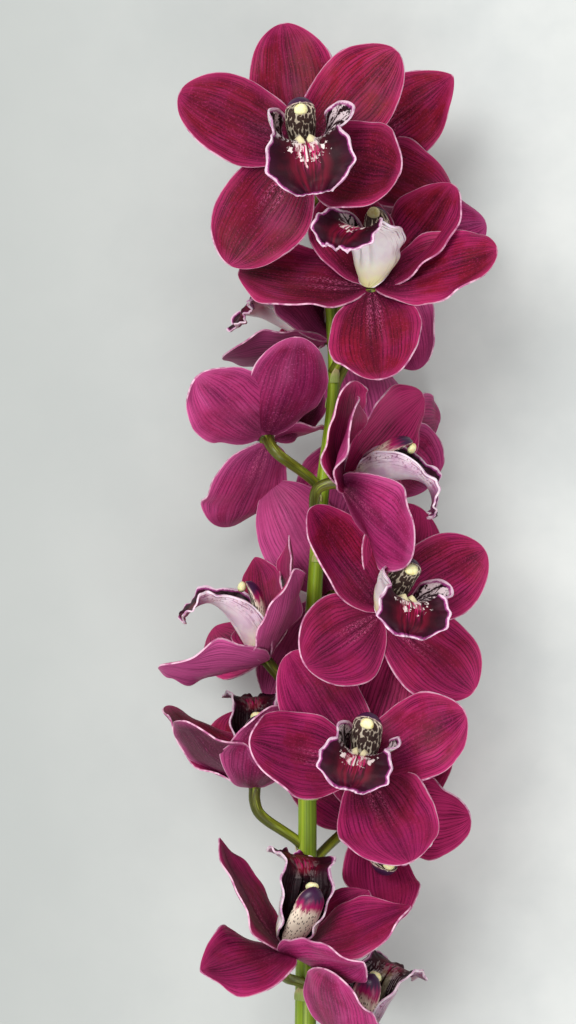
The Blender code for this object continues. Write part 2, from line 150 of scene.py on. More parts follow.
def wrap_skin(bm):
    """Writes each point's turn and run as its place on the skin's map, facing out."""
    bmesh.ops.recalc_face_normals(bm, faces=bm.faces)
    turn = bm.verts.layers.float["turn"]
    run = bm.verts.layers.float["run"]
    skin = bm.loops.layers.uv.new("skin")
    for face in bm.faces:
        turns = [loop.vert[turn] for loop in face.loops]
        split = max(turns) - min(turns) > 0.5 and len(turns) < 8
        for loop, value in zip(face.loops, turns):
            if split and value < 0:
                value += 1
            loop[skin].uv = (value, loop.vert[run])


def linked(name, bm, materials):
    """An object of a bmesh, at the origin, in the scene."""
    mesh = bpy.data.meshes.new(name)
    bm.normal_update()
    bm.to_mesh(mesh)
    bm.free()
    for material in materials:
        mesh.materials.append(material)
    mesh.shade_smooth()
    obj = bpy.data.objects.new(name, mesh)
    bpy.context.scene.collection.objects.link(obj)
    return obj


def finished(name, bm, materials):
    """A finished piece of the stem, riding on the part."""
    obj = linked(name, bm, materials)
    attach(obj, "root")
    return obj


def colour(hex_text):
    """Linear colour of an sRGB hex value."""
    shares = [int(hex_text[at : at + 2], 16) / 255 for at in (1, 3, 5)]
    linear = [s / 12.92 if s <= 0.04045 else ((s + 0.055) / 1.055) ** 2.4 for s in shares]
    return (*linear, 1)


def add(material, kind, feeds=(), out=0, **settings):
    """Adds a shader node with its settings and returns one output.

    What feeds its sockets is named, or in the sockets' order.
    """
    made = material.node_tree.nodes.new("ShaderNode" + kind)
    for key, value in settings.items():
        setattr(made, key, value)
    for socket, value in feeds.items() if isinstance(feeds, dict) else enumerate(feeds):
        if isinstance(value, bpy.types.NodeSocket):
            material.node_tree.links.new(value, made.inputs[socket])
        elif isinstance(value, str):
            made.inputs[socket].default_value = colour(value)
        else:
            made.inputs[socket].default_value = value
    return made.outputs[out] if made.outputs else made


def mask(material, *parts):
    """All the parts multiplied: values, or smooth steps from 0 to 1.

    A step is written as a value and the two ends it rises between, then its
    top and its bottom where they are others.
    """
    whole = None
    for part in parts:
        if isinstance(part, tuple):
            step = zip(("Value", "From Min", "From Max", "To Max", "To Min"), part)
            part = add(material, "MapRange", dict(step), interpolation_type="SMOOTHSTEP")
        if whole is not None:
            part = add(material, "Math", (whole, part), operation="MULTIPLY")
        whole = part
    return whole


def stretched_noise(material, place, scales, detail=2):
    """Cloudy noise with its own scale in each direction."""
    stretch = add(material, "Mapping", {"Vector": place, "Scale": scales})
    return add(material, "TexNoise", {"Vector": stretch, "Scale": 1, "Detail": detail})


def paint(material, ground, *coats):
    """Lays coats of colour over a ground, each where its mask is high."""
    for part, coat in coats:
        feeds = {0: mask(material, part), 6: ground, 7: coat}
        ground = add(material, "Mix", feeds, 2, data_type="RGBA")
    return ground


def shaded(name):
    """An empty node material."""
    material = bpy.data.materials.new(name)
    material.use_nodes = True
    material.node_tree.nodes.clear()
    return material


def surface(material, skin, roughness, settings=()):
    """Ends a material with its shader, which gets its colour and constants here."""
    feeds = {"Base Color": skin, "Roughness": roughness, **dict(settings)}
    add(material, "OutputMaterial", {"Surface": add(material, "BsdfPrincipled", feeds)})
    return material


def green_skin(name, young, old, dark_tone_and_shade):
    """Waxy living stem: uneven light and dark bands along it, old at the top of its map, and painted
    shade down one side.
    """
    m = shaded(name)
    skin = add(m, "UVMap", uv_map="skin")
    place = add(m, "TexCoord", out="Object")
    run = add(m, "SeparateXYZ", (skin,), "Y")
    turn = add(m, "SeparateXYZ", (skin,), "X")
    # Which way the skin faces round its middle, for the painted shade on one side
    angle = add(m, "Math", (turn, math.tau), operation="MULTIPLY")
    shade_side = add(m, "Math", (angle,), operation="COSINE")
    bands = stretched_noise(m, skin, (7, 1.5, 1))
    patches = add(m, "TexNoise", {"Vector": place, "Scale": 55, "Detail": 3})
    fibres = stretched_noise(m, skin, (34, 5, 1))
    ground = paint(
        m,
        young,
        (run, old),
        ((bands, 0.5, 0.3, 0.85), dark_tone_and_shade),
        ((bands, 0.52, 0.68, 0.75), "#b2c43a"),
        ((patches, 0.5, 0.8, 0.4), dark_tone_and_shade),
        ((fibres, 0.52, 0.7, 0.45), "#b2c448"),
        ((fibres, 0.48, 0.3, 0.4), dark_tone_and_shade),
        # Painted shade down one side of the stem and of each stalk
        ((shade_side, 0.2, -0.9, 0.65), dark_tone_and_shade),
    )
    pores = add(m, "TexNoise", {"Vector": place, "Scale": 1400})
    wax = {"Specular IOR Level": 0.35, "Subsurface Weight": 0.1, "Subsurface Scale": 0.002}
    wax["Normal"] = add(m, "Bump", {"Height": pores, "Strength": 0.12, "Distance": 0.0004})
    return surface(m, ground, 0.4, wax)


def cut_end_skin():
    """The cut across the stem: wet pale flesh with dots of fibre and drier patches."""
    m = shaded("cut stem fibres")
    place = add(m, "TexCoord", out="Object")
    dots = add(m, "TexVoronoi", {"Vector": place, "Scale": 900})
    cloud = add(m, "TexNoise", {"Vector": place, "Scale": 500})
    ground = paint(
        m,
        "#c9d190",
        ((cloud, 0.4, 0.7, 0.7), "#a8a662"),
        ((dots, 0.35, 0.2, 0.8), "#6f7a3a"),
    )
    return surface(m, ground, 0.5)


stem_green = green_skin("waxy green stem", "#96b228", "#8aa622", "#44580c")

stem_knots = [Vector(point) for point in STEM]


def stem_frame(share):
    """The stem's middle, radius and two directions across it."""
    here = along_knots(stem_knots, share)
    along = heading(stem_knots, share, 0.002)
    side = along.cross(Vector((0, 0, 1))).normalized()
    return here.to_3d(), here.w, side, side.cross(along)


def on_stem(angle, share):
    """A point of the stem's ribbed skin, which is never below the floor."""
    middle, radius, side, up = stem_frame(share)
    round_end = 1 - TIP_NARROWS * max(0, 1 - share / TIP_SHARE)
    radius = (radius + RIB_HEIGHT * math.cos(STEM_RIBS * angle)) * round_end
    point = middle + (side * math.cos(angle) + up * math.sin(angle)) * radius
    point.z = max(point.z, 0)
    return point


bm = bmesh.new()
grow(bm, STEM_SIDES, STEM_STEPS, on_stem)
wrap_skin(bm)
ends = [face for face in bm.faces if len(face.verts) == STEM_SIDES]
min(ends, key=lambda face: face.calc_center_median().y).material_index = 1
green_stem = finished("green_stem", bm, [stem_green, cut_end_skin()])
green_stem.data.set_sharp_from_angle(angle=math.radians(60))
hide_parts("spike")


# Where the flowers sit, which way each looks and where its upper sepal points,
# with how its tepals differ from the usual ones. Angles are in degrees from the
# upper sepal, and a deep tepal is more plum than its flower, or below zero paler.
# The deep value is partly a tepal's own tone, and partly painted shade on tepals
# that the lamps light well and painted light on tepals that lie in shade.


class Tepal(NamedTuple):
    azimuth: float
    rise: float
    curl: float
    length: float = 60.0
    width: float = 40.0
    cup: float = 28.0
    twist: float = 0.0
    root: float = 0.0
    deep: float = 0.0


TEPALS = {
    "dorsal": Tepal(0, 8, 26, length=60, width=43, cup=34, root=-0.9),
    "petal_right": Tepal(62, 16, 10, length=61, width=41, cup=24, root=0.4),
    "petal_left": Tepal(-62, 16, 10, length=61, width=41, cup=24, root=0.4),
    "sepal_right": Tepal(130, 8, 12, length=61, width=45, cup=22, root=-0.9),
    "sepal_left": Tepal(-130, 8, 12, length=61, width=45, cup=22, root=-0.9),
}


class Bloom(NamedTuple):
    name: str
    centre: tuple
    looks: tuple
    upper: tuple
    leaves_stem: float
    lip_width: float
    lobe_length: float
    changes: dict


BLOOMS = (
    Bloom("bloom_01", (-10.7, 279, 98), (0.02, 0.04, 1), (-0.15, 1, 0), 238, 1.0, 1.0, {
        "dorsal": dict(rise=-16, curl=24, deep=0.2),
        "petal_right": dict(azimuth=52, rise=2),
        "petal_left": dict(azimuth=-58, rise=4, deep=0.35),
        "sepal_right": dict(azimuth=122, rise=34, curl=20, deep=0.45),
        "sepal_left": dict(azimuth=-138, rise=-8, deep=0.4),
    }),
    Bloom("bloom_02", (12.3, 287, 44), (-0.15, 0.35, 0.92), (0, -1, 0.1), 230, 1.0, 0.72, {
        "dorsal": dict(azimuth=60, rise=-4, curl=0, length=50),
        "petal_right": dict(azimuth=104, rise=-6, curl=0),
        "petal_left": dict(azimuth=-56, rise=6, curl=0),
        "sepal_right": dict(azimuth=150, rise=0),
        "sepal_left": dict(azimuth=-116, rise=18, twist=-30),
    }),
    Bloom("bloom_03", (21.3, 217, 90), (-0.17, 0.7, 0.69), (0.5, 0.65, -0.57), 178, 0.84, 0.8, {
        "dorsal": dict(azimuth=24, rise=14, curl=30),
        "petal_right": dict(azimuth=66, rise=10, twist=-18),
        "petal_left": dict(azimuth=-46, rise=30, curl=0, length=50, deep=0.2),
        "sepal_right": dict(azimuth=148, rise=-8),
        "sepal_left": dict(azimuth=-112, rise=6, deep=0.3),
    }),
    Bloom("bloom_04", (21.3, 236, 50), (0.65, 0.1, -0.75), (0.1, 1, 0.2), 190, 0.7, 0.72, {
        "dorsal": dict(azimuth=-6, rise=40, curl=26),
        "petal_right": dict(azimuth=60, rise=12, curl=30),
        "petal_left": dict(azimuth=-60, rise=34, curl=40),
        "sepal_right": dict(azimuth=138, rise=20, curl=-8),
        "sepal_left": dict(azimuth=-162, rise=18, deep=-0.4),
    }),
    Bloom("bloom_05", (1.3, 196, 41.4), (-0.86, 0.5, 0), (0.3, 0.45, -0.84), 166, 0.9, 0.72, {
        "dorsal": dict(rise=34, curl=40),
        "petal_right": dict(azimuth=60, rise=26, curl=20, length=56),
        "petal_left": dict(azimuth=-62, rise=20, curl=20, length=50),
        "sepal_right": dict(azimuth=102, rise=50, length=54, deep=-0.3),
        "sepal_left": dict(azimuth=-140, rise=44, length=52, deep=-1),
    }),
    Bloom("bloom_06", (-27.7, 146, 78), (-0.3, 0.55, -0.78), (0.26, 0.83, 0.49), 121, 1.0, 0.72, {
        "dorsal": dict(azimuth=4, rise=-32, curl=48, deep=0.45),
        "petal_right": dict(azimuth=52, rise=-32, curl=40, deep=-0.3),
        "petal_left": dict(azimuth=-50, rise=22, curl=30, length=46, deep=0.9),
        "sepal_right": dict(azimuth=182, rise=8, curl=16, twist=14, deep=-0.3),
        "sepal_left": dict(azimuth=-104, rise=36, curl=6, twist=-56, length=50, width=30),
    }),
    Bloom("bloom_07", (8.3, 125, 84), (0.97, 0.1, 0.1), (-0.1, 0.95, 0.2), 92, 0.86, 0.72, {
        "dorsal": dict(azimuth=-28, rise=-6, curl=36, twist=34, length=58, deep=-1),
        "petal_right": dict(azimuth=50, rise=36, curl=10, twist=20, deep=-0.9),
        "petal_left": dict(azimuth=-46, rise=2, curl=20, twist=20, length=59, deep=0.2),
        "sepal_right": dict(azimuth=121, rise=31, curl=4, twist=-9, length=50),
        "sepal_left": dict(azimuth=-120, rise=30, curl=4, twist=24, deep=0.1),
    }),
    Bloom("bloom_08", (23.3, 146, 50.5), (-0.15, 0.2, -0.93), (0, 1, 0.2), 138, 0.85, 0.72, {
        "dorsal": dict(azimuth=2, rise=34, curl=56, deep=-1),
        "petal_right": dict(azimuth=146, rise=12, curl=12, length=52),
        "petal_left": dict(azimuth=-92, rise=38, curl=20, twist=-16),
        "sepal_right": dict(azimuth=164, rise=4, curl=24, length=48, deep=-0.8),
        "sepal_left": dict(azimuth=-132, rise=30, curl=4, twist=-8, length=50),
    }),
    Bloom("bloom_09", (27.3, 64, 88), (0.3, 0.25, 0.92), (0.12, 1, -0.3), 46, 0.88, 0.72, {
        "dorsal": dict(azimuth=12, rise=-14, curl=20, length=56, deep=-0.6),
        "petal_right": dict(azimuth=50, rise=4, length=56, deep=-0.2),
        "petal_left": dict(azimuth=-47, rise=0, curl=14, twist=-24, length=58),
        "sepal_right": dict(azimuth=126, rise=8, curl=4, length=54, deep=-0.2),
        "sepal_left": dict(azimuth=-132, rise=14, length=56, deep=-0.2),
    }),
    Bloom("bloom_10", (-28.7, 41, 68), (-0.62, 0.78, 0.1), (0.78, 0.62, 0), 16, 0.8, 0.68, {
        "dorsal": dict(azimuth=2, rise=26, curl=34, deep=-0.3),
        "petal_right": dict(azimuth=44, rise=20, curl=20, length=58, deep=-0.6),
        "petal_left": dict(azimuth=-52, rise=32, curl=24, length=54),
        "sepal_right": dict(azimuth=136, rise=28, deep=-1),
        "sepal_left": dict(azimuth=-102, rise=12, curl=16, deep=-0.6),
    }),
    Bloom("bloom_11", (3.3, 70, 46), (-0.2, 0.05, -0.97), (-0.1, 1, 0), 38, 0.85, 1.0, {
        "dorsal": dict(azimuth=22, rise=2, curl=14, twist=10, deep=-0.5),
        "petal_right": dict(azimuth=150, rise=14, curl=4, twist=-20, deep=-1),
        "petal_left": dict(azimuth=-78, rise=18, curl=14, length=52),
        "sepal_right": dict(azimuth=194, rise=0),
        "sepal_left": dict(azimuth=-120, rise=-10),
    }),
    Bloom("bloom_12", (16.3, -8, 98), (-0.04, 0.33, 0.93), (0.26, 0.93, -0.3), -22, 0.85, 0.72, {
        "dorsal": dict(azimuth=2, rise=-12, curl=24, length=58, deep=-0.6),
        "petal_right": dict(azimuth=52, rise=16, length=54),
        "petal_left": dict(azimuth=-49, rise=19, curl=4, twist=-12),
        "sepal_right": dict(azimuth=142, rise=24, width=47),
        "sepal_left": dict(azimuth=-100, rise=28, curl=20, width=42),
    }),
    Bloom("bloom_13", (-33.7, -20, 62), (0, 0.97, 0), (0.1, 0.15, 0.98), -52, 0.72, 0.72, {
        "dorsal": dict(azimuth=-8, rise=20, curl=54, twist=-18, deep=0.5),
        "petal_right": dict(azimuth=44, rise=24, curl=20, deep=0.9),
        "petal_left": dict(azimuth=-28, rise=43, curl=14, twist=8, length=52, width=36),
        "sepal_right": dict(azimuth=128, rise=32, curl=10, deep=0.4),
        "sepal_left": dict(azimuth=-182, rise=24, curl=16),
    }),
    Bloom("bloom_14", (25.3, -42, 34), (0.25, -0.1, 0.96), (-0.25, -0.97, 0), -60, 0.8, 0.72, {
        "dorsal": dict(azimuth=-4, rise=34, curl=40, width=38, deep=-0.4),
        "petal_right": dict(azimuth=112, rise=-14, curl=6, length=50, width=36),
        "petal_left": dict(azimuth=-122, rise=34, curl=26, length=52, deep=-0.9),
        "sepal_right": dict(azimuth=156, rise=-2, curl=6),
        "sepal_left": dict(azimuth=-170, rise=8),
    }),
    Bloom("bloom_15", (-17.7, -94, 90), (0.22, 0.97, 0.05), (0.28, -0.2, 0.93), -118, 0.82, 0.8, {
        "dorsal": dict(azimuth=-14, rise=-6, curl=40, twist=28, deep=0.2),
        "petal_right": dict(azimuth=56, rise=-12, twist=30, deep=-0.2),
        "petal_left": dict(azimuth=-56, rise=28, curl=14, twist=-35, deep=-0.2),
        "sepal_right": dict(azimuth=108, rise=38, curl=20, twist=16, deep=0.1),
        "sepal_left": dict(azimuth=-102, rise=37, twist=-20, length=48),
    }),
    Bloom("bloom_16", (12.3, -140, 82), (0.45, 0.9, -0.1), (-0.4, 0.1, 0.9), -152, 0.78, 0.8, {
        "dorsal": dict(azimuth=6, rise=16, length=62),
        "petal_right": dict(azimuth=154, rise=4),
        "petal_left": dict(azimuth=-76, rise=10),
        "sepal_right": dict(azimuth=-164, rise=4),
        "sepal_left": dict(azimuth=-120),
    }),
)


def bloom_matrix(bloom):
    """From a flower's frame in millimetres to the part's frame in metres."""
    looks = Vector(bloom.looks).normalized()
    right = Vector(bloom.upper).cross(looks).normalized()
    turn = Matrix((right, looks.cross(right), looks)).transposed().to_4x4()
    return Matrix.Translation(Vector(bloom.centre) * MM) @ turn @ Matrix.Scale(MM, 4)


# The tepals: three sepals and two petals a flower, fleshy blades under a
# millimetre thick. Their skin is waxy burgundy with parallel veins, a little
# pinker behind, and ends in a thin pale rim.

ROOT_RADIUS = 2.4
TIP_ROUNDING = 0.05
TEPAL_ACROSS = 26
TEPAL_ALONG = 36
TEPAL_THICKNESS = 0.75
TIP_CROWDING = 1.8
EDGE_RIPPLE = 1.9
EDGE_REFLEX = 3.0
MIDRIB_DEPTH = 0.7
KEEL_HEIGHT = 0.17
# Points as close as this are one, and edges that bend more than this stay sharp
SEAM = 0.02
RIM_SHARPNESS = 50


def outline(along):
    """Share of its full half width that a tepal has at a share of its length."""
    return 2.27 * (along + 0.03) ** 0.7 * max(0, 1 - along) ** 0.55


# Flowers whose tepals end in more of a point
POINTED = {"bloom_02": 0.25, "bloom_10": 0.15, "bloom_15": 0.25}
# Flowers whose tepals ripple less, because a neighbour lies close on them
CALM = {"bloom_09": 0.3}


def tepal_point(tepal, across, along, phase, pointed, lively):
    """Middle surface of a tepal, in millimetres in its flower's frame."""
    curl = math.radians(tepal.curl) or 0.001
    rise = math.radians(tepal.rise)
    full = outline(along) * tepal.width / 2
    full *= 1 + 0.035 * math.sin(8 * along + phase * 1.3 + 1.4 * across)
    full *= (1 + 0.5 * pointed) * max(0, 1 - along) ** pointed
    along *= 1 - TIP_ROUNDING * across**2 * (1 - along**6)
    slope = rise + curl * along
    out = ROOT_RADIUS + tepal.length / curl * (math.sin(slope) - math.sin(rise))
    forward = tepal.root + tepal.length / curl * (math.cos(rise) - math.cos(slope))
    azimuth = math.radians(tepal.azimuth)
    radial = Vector((math.sin(azimuth), math.cos(azimuth), 0))
    side = Vector((math.cos(azimuth), -math.sin(azimuth), 0))
    normal = Vector((0, 0, math.cos(slope))) - radial * math.sin(slope)
    twist = math.radians(tepal.twist * (1 - (1 - along) ** 3))
    turned_side = side * math.cos(twist) + normal * math.sin(twist)
    turned_normal = normal * math.cos(twist) - side * math.sin(twist)
    bend = math.radians(tepal.cup) / (tepal.width / 2)
    angle = bend * across * full
    skewed = across + 0.12 * math.sin(phase)
    ripple = math.sin(phase + 9 * along + 2.1 * skewed) + 0.4 * math.sin(phase * 2 + 21 * along)
    ripple *= EDGE_RIPPLE * abs(across) ** 3.5
    reflex = EDGE_REFLEX * abs(across) ** 5 * max(0, math.sin(phase * 1.9 + 5 * along + 1.5 * across))
    ripple -= reflex
    ripple *= lively
    swell = 1.6 * lively * math.sin(2.1 * phase + 4 * along) * across
    swell += 0.5 * math.sin(1.3 * phase + 11 * along + 3 * across)
    groove = -MIDRIB_DEPTH * math.exp(-((across / 0.06) ** 2)) * (1 - 0.6 * along)
    keels = KEEL_HEIGHT * math.cos(across * 19) * (1 - abs(across)) * (1 - 0.7 * along)
    point = radial * out + Vector((0, 0, forward))
    point += turned_side * math.sin(angle) / bend
    fade_in = min(1, along * 3) * min(1, (1 - along) * 6)
    lift = (1 - math.cos(angle)) / bend + (ripple + swell + groove + keels) * fade_in
    return point + turned_normal * lift


def sheet(bm, columns, rows, crowding=1.0):
    """A flat grid's vertices, each with its place across and along its blade.

    The places are also the blade's map, and may crowd towards the tip.
    """
    blade = bm.loops.layers.uv.get("blade") or bm.loops.layers.uv.new("blade")
    made = bmesh.ops.create_grid(bm, x_segments=columns, y_segments=rows, size=1)["verts"]
    flat = {vert: (vert.co.x, 1 - ((1 - vert.co.y) / 2) ** crowding) for vert in made}
    for face in {face for vert in made for face in vert.link_faces}:
        for loop in face.loops:
            across, along = flat[loop.vert]
            loop[blade].uv = ((across + 1) / 2, along)
    return flat


def thicken(obj, thickness):
    """Gives a sheet two skins and a rim, each with its own material."""
    solidify = obj.modifiers.new("Thickness", "SOLIDIFY")
    solidify.thickness = thickness * MM
    solidify.offset = 0
    solidify.material_offset = 1
    solidify.material_offset_rim = 2
    graph = bpy.context.evaluated_depsgraph_get()
    mesh = bpy.data.meshes.new_from_object(obj.evaluated_get(graph))
    obj.modifiers.clear()
    obj.data = mesh
    mesh.set_sharp_from_angle(angle=math.radians(RIM_SHARPNESS))


def distance(material, value, centre):
    """How far a value is from a centre, on either side."""
    apart = add(material, "Math", (value, centre), operation="SUBTRACT")
    return add(material, "Math", (apart,), operation="ABSOLUTE")


def lines_apart(material, value, count):
    """Distance from the nearest of many even lines, in shares of their spacing."""
    counted = add(material, "Math", (value, count), operation="MULTIPLY")
    spaced = add(material, "Math", (counted,), operation="FRACT")
    return distance(material, spaced, 0.5)


def petal_skin(name, crimson, magenta, plum, vein, light, rim, vein_share):
    """Waxy petal skin: fine veins under two millimetres apart, deeper at its foot."""
    m = shaded(name)
    blade = add(m, "UVMap", uv_map="blade")
    share_across = add(m, "SeparateXYZ", (blade,), "X")
    along = add(m, "SeparateXYZ", (blade,), "Y")
    place = add(m, "TexCoord", out="Object")
    deep = add(m, "Attribute", out="Fac", attribute_name="deep")
    edge = add(m, "Attribute", out="Fac", attribute_name="edge_mm")

    # Place across the blade, from -1 to 1, wavering a little
    across = add(m, "MapRange", {"Value": share_across, "To Min": -1, "To Max": 1})
    waver = add(m, "TexNoise", {"Vector": place, "Scale": 95})
    waver = add(m, "MapRange", {"Value": waver, "To Min": -0.04, "To Max": 0.04})
    across = add(m, "Math", (across, waver), operation="ADD")
    side = add(m, "Math", (across,), operation="ABSOLUTE")

    # Fine veins, 11 to each half, then 4 stronger ones and the midrib
    lines = mask(m, (side, 0.04, 0, 0.95))
    for count, thickness, strength in ((11.5, 0.5, 0.75), (4.5, 0.22, 0.95)):
        line = mask(m, (lines_apart(m, across, count), thickness / 2, 0, strength))
        lines = add(m, "Math", (lines, line), operation="MAXIMUM")
    fade = add(m, "TexNoise", {"Vector": place, "Scale": 75})
    lines = mask(m, lines, (fade, 0.35, 0.62, vein_share, vein_share * 0.4))

    # Two rows of pink flecks beside the midrib, where a tepal has them: partly its own colour and
    # partly painted glints
    flecks = stretched_noise(m, blade, (120, 40, 1), 3)
    flecks_and_glints = mask(
        m,
        (distance(m, side, 0.12), 0.14, 0.01),
        (along, 0.65, 0.2),
        (flecks, 0.5, 0.62, 0.8),
        add(m, "Attribute", out="Fac", attribute_name="streak"),
    )

    # Broad lights and shades: brighter streaks between dark ones along the blade
    cloud = add(m, "TexNoise", {"Vector": place, "Scale": 38, "Detail": 4, "Roughness": 0.62})
    brush = add(m, "Mapping", {"Vector": blade, "Scale": (7, 1.3, 1)})
    shift = add(m, "Mapping", {"Vector": place, "Scale": (25, 25, 25)})
    brush = add(m, "VectorMath", (brush, shift), operation="ADD")
    brush = add(m, "TexNoise", {"Vector": brush, "Scale": 1})
    cells = add(m, "TexNoise", {"Vector": place, "Scale": 1300, "Detail": 1})
    cells = mask(m, (cells, 0.55, 0.75, 0.3))
    border = add(m, "MapRange", {"Value": edge, "From Max": 6, "To Min": 0.6, "To Max": 0})
    tone = add(m, "Attribute", out="Fac", attribute_name="tone")
    blush = mask(m, (cloud, 0.35, 0.65, 0.5, -0.5))
    blush = add(m, "Math", (tone, blush), operation="ADD", use_clamp=True)
    worn = add(m, "TexNoise", {"Vector": place, "Scale": 210})
    worn = {"Value": worn, "From Min": 0.3, "From Max": 0.7, "To Min": 0.1, "To Max": -0.25}
    thin_edge = add(m, "Math", (edge, add(m, "MapRange", worn)), operation="SUBTRACT")
    skin = paint(
        m,
        crimson,
        (blush, magenta),
        ((brush, 0.5, 0.75, 0.5), light),
        ((brush, 0.5, 0.25, 0.5), plum),
        ((cloud, 0.5, 0.25, 0.6), plum),
        ((side, 0.5, 0, 0.3), plum),
        ((along, 0.55, 0.05, 0.8), plum),
        # The deep value: plum for a tepal's own deeper tone and for painted shade, and below zero a
        # pale coat of painted light on tepals lying in shade
        (deep, plum),
        ((deep, 0, -1), light),
        (border, light),
        (lines, vein),
        # Pink flecks beside the midrib, partly painted glints
        (flecks_and_glints, "#d0608c"),
        (cells, light),
        ((thin_edge, 0.6, 0.2, 0.65), rim),
    )
    relief = add(m, "Math", (cells, lines), operation="SUBTRACT")
    bump = add(m, "Bump", {"Height": relief, "Strength": 0.3, "Distance": 0.0004})
    return surface(m, skin, 0.42, {"IOR": 1.22, "Specular IOR Level": 0.32, "Normal": bump})


petal_face = petal_skin(
    "waxy burgundy petal face",
    "#88182e", "#942056", "#3a0e20", "#2c0818", "#bc306c", "#dc9cb6", 0.8,
)
petal_back = petal_skin(
    "pinker petal back",
    "#9a204e", "#b0306e", "#4a0e2a", "#460e2e", "#c85490", "#e8b0c8", 0.7,
)


def worn_rim(name, flesh, stain):
    """The thin rim of a blade, where its dark skin gives way to pale flesh."""
    m = shaded(name)
    place = add(m, "TexCoord", out="Object")
    worn = add(m, "TexNoise", {"Vector": place, "Scale": 260})
    return surface(m, paint(m, flesh, ((worn, 0.4, 0.65, 0.9), stain)), 0.5)


petal_rim = worn_rim("pale petal rim", "#e6b4ca", "#b04880")


# How strong the pink flecks and painted glints beside the midrib are
SEPAL_FLECKS = 1.0
PETAL_FLECKS = 0.25
# How magenta each flower is, from the tip down
TONES = (0.1, 0.2, 0.3, 0.5, 0.5, 0.35, 1, 0.6, 0.55, 0.7, 0.6, 0.75, 0.25, 0.6, 0.7, 0.9)


def make_tepals(bloom, number):
    """A flower's five tepals as one piece, grown together at its middle."""
    matrix = bloom_matrix(bloom)
    pointed = POINTED.get(bloom.name, 0)
    lively = CALM.get(bloom.name, 1)
    bm = bmesh.new()
    tone, deep, edge_mm, streak = (
        bm.verts.layers.float.new(name) for name in ("tone", "deep", "edge_mm", "streak")
    )
    for index, (key, usual) in enumerate(TEPALS.items()):
        tepal = usual._replace(**bloom.changes.get(key, {}))
        phase = number * 1.7 + index * 2.3
        for vert, (across, along) in sheet(bm, TEPAL_ACROSS, TEPAL_ALONG, TIP_CROWDING).items():
            vert.co = matrix @ tepal_point(tepal, across, along, phase, pointed, lively)
            vert.co.z = max(vert.co.z, TEPAL_THICKNESS * MM)
            vert[tone] = TONES[number]
            vert[deep] = tepal.deep
            to_side = (1 - abs(across)) * outline(along) * tepal.width / 2
            vert[edge_mm] = min(to_side, (1 - along) * tepal.length)
            vert[streak] = SEPAL_FLECKS if key.startswith("sepal") else PETAL_FLECKS
    bmesh.ops.remove_doubles(bm, verts=bm.verts, dist=SEAM * MM)
    obj = finished(bloom.name + "_petals", bm, [petal_face, petal_back, petal_rim])
    thicken(obj, TEPAL_THICKNESS)
    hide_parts(bloom.name + "_tepals")


for number, bloom in enumerate(BLOOMS):
    make_tepals(bloom, number)


# The lips: the sixth petal of each flower, a thick velvety trough with two
# raised side lobes and a middle lobe that rolls down. It is near black
# maroon, streaked white, with two cream ridges and a pale ruffled margin.


class LipStation(NamedTuple):
    along: float
    half_width: float
    wrap: float
    pitch: float
    lead: float


LIP = (
    LipStation(0, 4, 40, 0, 0),
    LipStation(9, 22, 116, -6, 0),
    LipStation(18, 26, 118, -8, 0),
    LipStation(27, 24, 92, 0, 1),
    LipStation(34, 17, 52, 24, 1),
    LipStation(41, 20, 26, 66, 0),
    LipStation(51, 19, 12, 94, 0),
    LipStation(61, 8, 0, 108, 0),
)
LIP_FOOT = -3.6
LIP_FORWARD = 2.35
LIP_ACROSS = 48
LIP_ALONG = 64
LIP_FLESH = 0.8
RUFFLE = 1.3
RIDGE_HEIGHT = 2.6
RIDGE_PLACE = 0.13
# The right side lobe opens more than the left one
LOBE_LEAN = 0.12
LOBE_FLARE = {"bloom_01": 6.5, "bloom_03": 2.0, "bloom_09": 6.0, "bloom_12": 2.0}
# How strongly a lip's streaks and patch show inside, and how lilac it is outside
SHOWY = {"bloom_01": 1.0, "bloom_03": 1.0, "bloom_09": 1.0, "bloom_12": 0.75, "bloom_16": 0.4}
LILAC = {"bloom_07": 0.9, "bloom_10": 0.6, "bloom_16": 0.8, "bloom_04": 0.5}
FAINT = 0.1
LOBE_START = 34.0
# Millimetres at the lip's tip for its whole run there
LOBE_REACH = 70.0


def lip_spine(lobe_length):
    """Midline of the lip at each station, in millimetres in its flower's frame."""
    y, z, spine = LIP_FOOT, LIP_FORWARD, []
    for before, station in zip((LIP[0], *LIP), LIP):
        step = station.along - before.along
        if station.along > LOBE_START:
            step *= lobe_length
        pitch = math.radians((before.pitch + station.pitch) / 2)
        y -= step * math.sin(pitch)
        z += step * math.cos(pitch)
        spine.append(Vector((0, y, z)))
    return spine


LIP_SHAPE = [Vector(station[1:]) for station in LIP]


def smooth_step(low, high, value):
    """Rises smoothly from 0 to 1 as a value goes from low to high."""
    share = min(1, max(0, (value - low) / (high - low)))
    return share * share * (3 - 2 * share)


